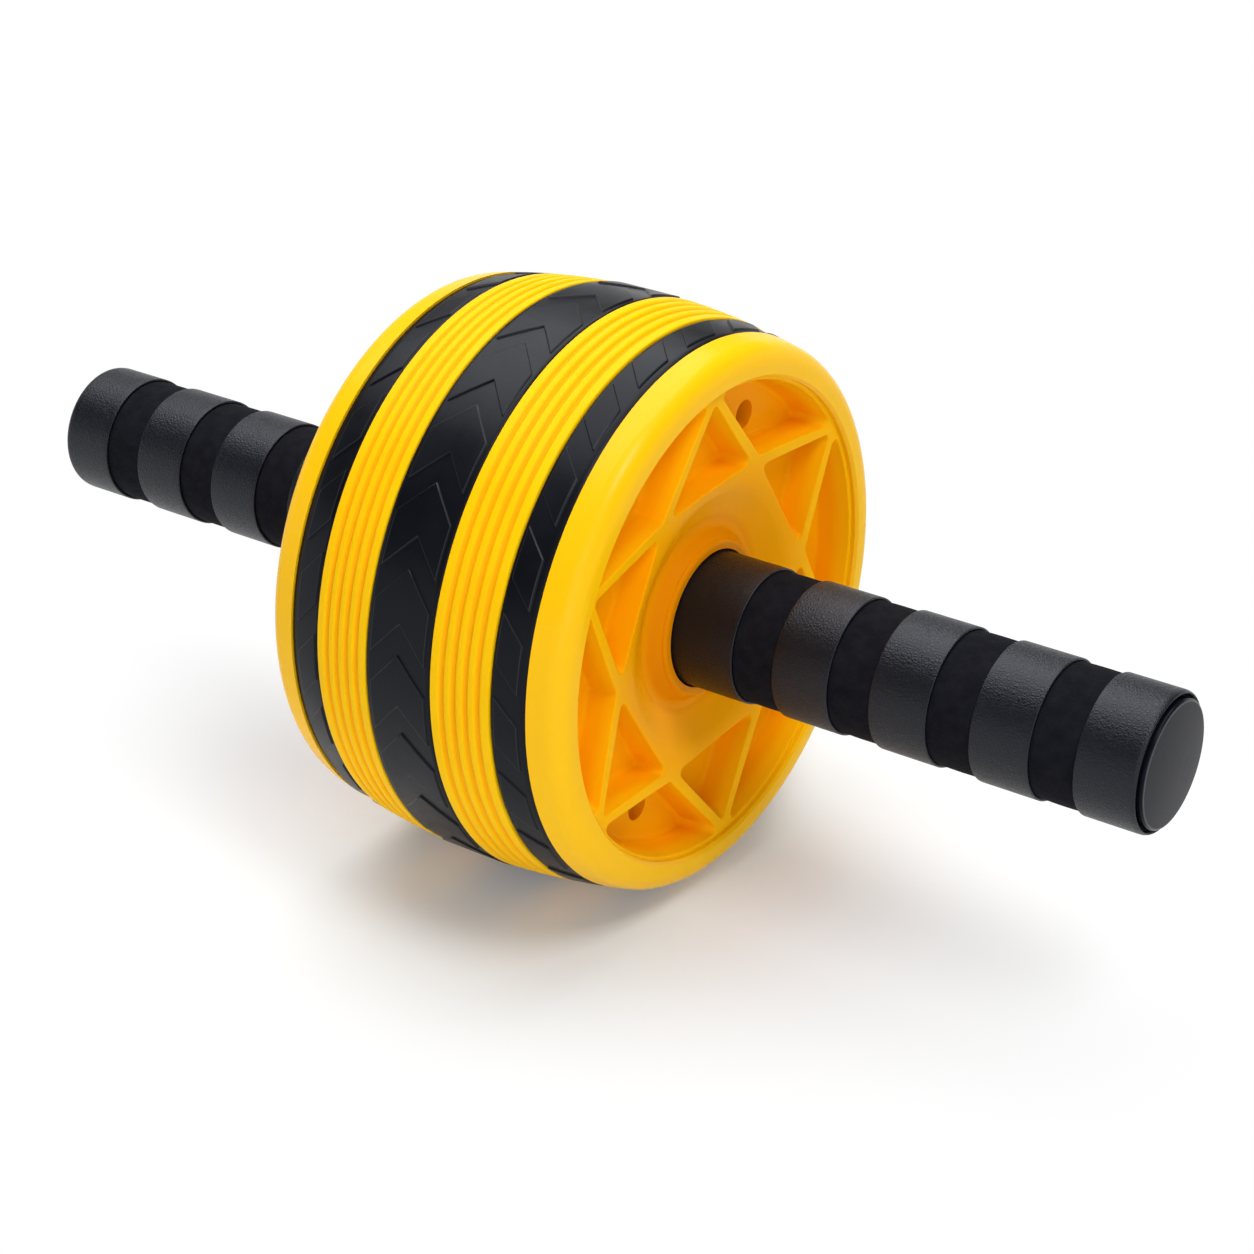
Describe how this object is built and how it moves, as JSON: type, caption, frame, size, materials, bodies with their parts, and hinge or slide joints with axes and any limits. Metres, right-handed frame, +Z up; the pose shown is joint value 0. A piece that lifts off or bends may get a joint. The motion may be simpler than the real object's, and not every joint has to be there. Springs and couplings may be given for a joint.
{
  "type": "ab wheel roller",
  "caption": "Exercise roller: a wide barrel wheel with moulded treads spins on ball bearings on a straight axle, with a banded foam grip on each side.",
  "frame": {"origin": "centre of the wheel, on the axle's axis", "axes": "+X along the axle towards the right grip, +Z up, +Y completes the right-handed frame"},
  "size_m": [0.364, 0.164, 0.164],
  "materials": {
    "wheel_shell": "satin moulded",
    "band_rubber": "satin",
    "tread_rubber": "satin",
    "grip_foam": "matte closed-cell foam",
    "grip_skin": "grained",
    "cap_plastic": "satin",
    "steel": "bright drawn",
    "bearing_steel": "ground",
    "cage_plastic": "moulded"
  },
  "bodies": {
    "handlebar": {"axle_tube": "steel", "bearing_spacer": "steel", "inner_race_right": "bearing_steel", "inner_race_left": "bearing_steel", "circlip_right": "steel", "circlip_left": "steel", "grip_sleeve_right": "grip_foam", "grip_sleeve_left": "grip_foam", "grip_ring_right_1": "grip_skin", "grip_ring_right_2": "grip_skin", "grip_ring_right_3": "grip_skin", "grip_ring_right_4": "grip_skin", "grip_ring_right_5": "grip_skin", "grip_ring_left_1": "grip_skin", "grip_ring_left_2": "grip_skin", "grip_ring_left_3": "grip_skin", "grip_ring_left_4": "grip_skin", "grip_ring_left_5": "grip_skin", "end_cap_right": "cap_plastic", "end_cap_left": "cap_plastic"},
    "wheel": {"wheel_half_right": "wheel_shell", "wheel_half_left": "wheel_shell", "centre_tread": "tread_rubber", "ribbed_band_right": "band_rubber", "ribbed_band_left": "band_rubber", "outer_tread_right": "tread_rubber", "outer_tread_left": "tread_rubber", "shell_screws": "steel", "outer_race_right": "bearing_steel", "outer_race_left": "bearing_steel"},
    "cage_right": {"ball_cage_right": "cage_plastic", "bearing_balls_right": "bearing_steel"},
    "cage_left": {"ball_cage_left": "cage_plastic", "bearing_balls_left": "bearing_steel"}
  },
  "joints": [
    {"name": "wheel_spin", "type": "hinge", "parent": "handlebar", "child": "wheel", "pos_m": [0, 0, 0], "axis": [1, 0, 0], "continuous": true},
    {"name": "cage_spin_right", "type": "hinge", "parent": "handlebar", "child": "cage_right", "pos_m": [0.0265, 0, 0], "axis": [1, 0, 0], "continuous": true},
    {"name": "cage_spin_left", "type": "hinge", "parent": "handlebar", "child": "cage_left", "pos_m": [-0.0265, 0, 0], "axis": [1, 0, 0], "continuous": true}
  ],
  "couplings": [
    {"joint": "cage_spin_right", "follows": "wheel_spin", "ratio": 0.571},
    {"joint": "cage_spin_left", "follows": "wheel_spin", "ratio": 0.571}
  ]
}
